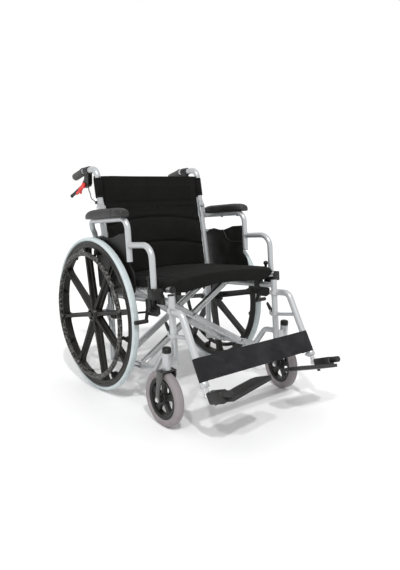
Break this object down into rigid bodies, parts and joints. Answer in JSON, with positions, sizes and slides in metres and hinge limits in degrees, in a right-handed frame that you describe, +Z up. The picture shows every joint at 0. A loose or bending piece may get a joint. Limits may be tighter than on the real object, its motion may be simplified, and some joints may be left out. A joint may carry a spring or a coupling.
{
  "type": "folding wheelchair",
  "caption": "Folding wheelchair with a scissor cross-brace, moulded spoked rear wheels, castors, flip-back arms, swing-away footrests and a folding padded back.",
  "frame": {"origin": "on the floor, centred under the chair's bounding box", "axes": "+Z up, the chair faces -Y, its right side is -X and its left side is +X"},
  "size_m": [0.701, 1.0686, 0.8811],
  "materials": {
    "silver_paint": "satin silver enamel",
    "pad_foam": "dark moulded foam skin",
    "black_plastic": "black moulded plastic and black enamel",
    "black_fabric": "black woven cloth, padded",
    "chrome": "bright plated",
    "red_plastic": "red moulded plastic",
    "strap_webbing": "black webbing",
    "castor_rubber": "mid grey rubber",
    "grey_tyre": "pale grey rubber"
  },
  "bodies": {
    "right_side": {"side_frame_right": "silver_paint", "rear_axle_right": "chrome", "castor_cap_right": "black_plastic", "arm_socket_right": "black_plastic", "brake_base_right": "black_plastic", "brake_cable_right": "black_plastic", "back_lower": "black_fabric"},
    "cross_a": {"cross_brace_a": "silver_paint", "brace_pin_front": "chrome", "brace_pin_rear": "chrome"},
    "cross_b": {"cross_brace_b": "silver_paint"},
    "left_side": {"side_frame_left": "silver_paint", "rear_axle_left": "chrome", "castor_cap_left": "black_plastic", "arm_socket_left": "black_plastic", "brake_base_left": "black_plastic", "brake_cable_left": "black_plastic"},
    "seat_cushion": {"seat": "black_fabric"},
    "rear_wheel_right": {"wheel_right": "black_plastic", "tyre_right": "grey_tyre", "handrim_right": "black_plastic"},
    "fork_right": {"castor_fork_right": "black_plastic"},
    "front_wheel_right": {"castor_wheel_right": "black_plastic", "castor_tyre_right": "castor_rubber"},
    "arm_right": {"arm_frame_right": "silver_paint", "arm_pad_right": "pad_foam", "side_panel_right": "black_plastic"},
    "hanger_right": {"hanger_right": "silver_paint", "footrest_tube_right": "chrome", "calf_strap": "strap_webbing"},
    "footplate_right": {"footplate_right": "black_plastic"},
    "hanger_lever_right": {"hanger_lever_right": "black_plastic"},
    "brake_lever_right": {"brake_lever_right": "black_plastic"},
    "brake_shoe_right": {"brake_shoe_right": "chrome"},
    "handle_right": {"upper_cane_right": "silver_paint", "grip_right": "black_plastic", "handle_brake_clamp_right": "black_plastic", "back_upper": "black_fabric"},
    "handle_lever_right": {"handle_lever_right": "black_plastic"},
    "catch_right": {"brake_catch_right": "red_plastic"},
    "rear_wheel_left": {"wheel_left": "black_plastic", "tyre_left": "grey_tyre", "handrim_left": "black_plastic"},
    "fork_left": {"castor_fork_left": "black_plastic"},
    "front_wheel_left": {"castor_wheel_left": "black_plastic", "castor_tyre_left": "castor_rubber"},
    "arm_left": {"arm_frame_left": "silver_paint", "arm_pad_left": "pad_foam", "side_panel_left": "black_plastic"},
    "hanger_left": {"hanger_left": "silver_paint", "footrest_tube_left": "chrome"},
    "footplate_left": {"footplate_left": "black_plastic"},
    "hanger_lever_left": {"hanger_lever_left": "black_plastic"},
    "brake_lever_left": {"brake_lever_left": "black_plastic"},
    "brake_shoe_left": {"brake_shoe_left": "chrome"},
    "handle_left": {"upper_cane_left": "silver_paint", "grip_left": "black_plastic", "handle_brake_clamp_left": "black_plastic"},
    "handle_lever_left": {"handle_lever_left": "black_plastic"},
    "catch_left": {"brake_catch_left": "red_plastic"}
  },
  "joints": [
    {"name": "fold", "type": "hinge", "parent": "right_side", "child": "cross_a", "pos_m": [-0.252, 0.20695, 0.12527], "axis": [0, -0.993, 0.1184], "range_deg": [0, 40], "deforming": ["seat", "back_lower", "back_upper", "calf_strap"]},
    {"name": "brace_scissor", "type": "hinge", "parent": "cross_a", "child": "cross_b", "pos_m": [0, 0.22459, 0.27322], "axis": [0, -0.993, 0.1184], "range_deg": [-80, 0]},
    {"name": "left_side_fold", "type": "hinge", "parent": "cross_b", "child": "left_side", "pos_m": [0.252, 0.20695, 0.12527], "axis": [0, -0.993, 0.1184], "range_deg": [0, 40]},
    {"name": "seat_lift", "type": "slide", "parent": "right_side", "child": "seat_cushion", "axis": [0, 0.1184, 0.993], "range_m": [0, 0.256]},
    {"name": "rear_wheel_spin_right", "type": "hinge", "parent": "right_side", "child": "rear_wheel_right", "pos_m": [-0.309, 0.22838, 0.305], "axis": [1, 0, 0], "continuous": true},
    {"name": "castor_swivel_right", "type": "hinge", "parent": "right_side", "child": "fork_right", "pos_m": [-0.2915, -0.23462, 0.268], "axis": [0, 0, 1], "continuous": true},
    {"name": "castor_spin_right", "type": "hinge", "parent": "fork_right", "child": "front_wheel_right", "pos_m": [-0.2915, -0.22262, 0.1], "axis": [1, 0, 0], "continuous": true},
    {"name": "arm_flip_right", "type": "hinge", "parent": "right_side", "child": "arm_right", "pos_m": [-0.262, 0.29806, 0.59378], "axis": [-1, 0, 0], "range_deg": [0, 90]},
    {"name": "hanger_swing_right", "type": "hinge", "parent": "right_side", "child": "hanger_right", "pos_m": [-0.252, -0.20916, 0.40249], "axis": [0, -0.1184, -0.993], "range_deg": [0, 100], "deforming": ["calf_strap"]},
    {"name": "footplate_flip_right", "type": "hinge", "parent": "hanger_right", "child": "footplate_right", "pos_m": [-0.262, -0.4195, 0.16905], "axis": [0, -0.9272, 0.3746], "range_deg": [0, 90]},
    {"name": "hanger_release_right", "type": "hinge", "parent": "hanger_right", "child": "hanger_lever_right", "pos_m": [-0.252, -0.19631, 0.32442], "axis": [-1, 0, 0], "range_deg": [0, 20], "stiffness_Nm_per_rad": 0.1},
    {"name": "parking_brake_right", "type": "hinge", "parent": "right_side", "child": "brake_lever_right", "pos_m": [-0.2845, -0.12873, 0.3929], "axis": [-1, 0, 0], "range_deg": [0, 35]},
    {"name": "brake_shoe_press_right", "type": "hinge", "parent": "right_side", "child": "brake_shoe_right", "pos_m": [-0.2755, -0.10236, 0.40285], "axis": [1, 0, 0], "range_deg": [0, 5]},
    {"name": "back_fold_right", "type": "hinge", "parent": "right_side", "child": "handle_right", "pos_m": [-0.252, 0.26623, 0.71913], "axis": [-1, 0, 0], "range_deg": [0, 90], "deforming": ["brake_cable_right", "brake_cable_left"]},
    {"name": "attendant_lever_right", "type": "hinge", "parent": "handle_right", "child": "handle_lever_right", "pos_m": [-0.247, 0.40134, 0.80957], "axis": [1, 0, 0], "range_deg": [0, 15], "stiffness_Nm_per_rad": 0.3},
    {"name": "brake_catch_turn_right", "type": "hinge", "parent": "handle_right", "child": "catch_right", "pos_m": [-0.247, 0.41014, 0.79895], "axis": [1, 0, 0], "range_deg": [0, 20]},
    {"name": "rear_wheel_spin_left", "type": "hinge", "parent": "left_side", "child": "rear_wheel_left", "pos_m": [0.309, 0.22838, 0.305], "axis": [1, 0, 0], "continuous": true},
    {"name": "castor_swivel_left", "type": "hinge", "parent": "left_side", "child": "fork_left", "pos_m": [0.2915, -0.23462, 0.268], "axis": [0, 0, 1], "continuous": true},
    {"name": "castor_spin_left", "type": "hinge", "parent": "fork_left", "child": "front_wheel_left", "pos_m": [0.29379, -0.22284, 0.1], "axis": [0.9816, -0.1908, 0], "continuous": true},
    {"name": "arm_flip_left", "type": "hinge", "parent": "left_side", "child": "arm_left", "pos_m": [0.262, 0.29806, 0.59378], "axis": [-1, 0, 0], "range_deg": [0, 90]},
    {"name": "hanger_swing_left", "type": "hinge", "parent": "left_side", "child": "hanger_left", "pos_m": [0.252, -0.20916, 0.40249], "axis": [0, 0.1184, 0.993], "range_deg": [0, 100], "deforming": ["calf_strap"]},
    {"name": "footplate_flip_left", "type": "hinge", "parent": "hanger_left", "child": "footplate_left", "pos_m": [0.262, -0.4195, 0.16905], "axis": [0, 0.9272, -0.3746], "range_deg": [0, 90]},
    {"name": "hanger_release_left", "type": "hinge", "parent": "hanger_left", "child": "hanger_lever_left", "pos_m": [0.252, -0.19631, 0.32442], "axis": [-1, 0, 0], "range_deg": [0, 20], "stiffness_Nm_per_rad": 0.1},
    {"name": "parking_brake_left", "type": "hinge", "parent": "left_side", "child": "brake_lever_left", "pos_m": [0.2845, -0.12873, 0.3929], "axis": [-1, 0, 0], "range_deg": [0, 35]},
    {"name": "brake_shoe_press_left", "type": "hinge", "parent": "left_side", "child": "brake_shoe_left", "pos_m": [0.2755, -0.10236, 0.40285], "axis": [1, 0, 0], "range_deg": [0, 5]},
    {"name": "back_fold_left", "type": "hinge", "parent": "left_side", "child": "handle_left", "pos_m": [0.252, 0.26623, 0.71913], "axis": [-1, 0, 0], "range_deg": [0, 90]},
    {"name": "attendant_lever_left", "type": "hinge", "parent": "handle_left", "child": "handle_lever_left", "pos_m": [0.247, 0.40134, 0.80957], "axis": [1, 0, 0], "range_deg": [0, 15], "stiffness_Nm_per_rad": 0.3},
    {"name": "brake_catch_turn_left", "type": "hinge", "parent": "handle_left", "child": "catch_left", "pos_m": [0.247, 0.41014, 0.79895], "axis": [1, 0, 0], "range_deg": [0, 20]}
  ],
  "couplings": [
    {"joint": "brace_scissor", "follows": "fold", "ratio": -2},
    {"joint": "left_side_fold", "follows": "fold", "ratio": 1},
    {"joint": "seat_lift", "follows": "fold", "m_per_rad": 0.36418},
    {"joint": "footplate_flip_right", "follows": "fold", "ratio": 2.25},
    {"joint": "brake_shoe_press_right", "follows": "parking_brake_right", "ratio": 0.14286},
    {"joint": "footplate_flip_left", "follows": "fold", "ratio": 2.25},
    {"joint": "brake_shoe_press_left", "follows": "parking_brake_left", "ratio": 0.14286},
    {"joint": "back_fold_left", "follows": "back_fold_right", "ratio": 1}
  ]
}
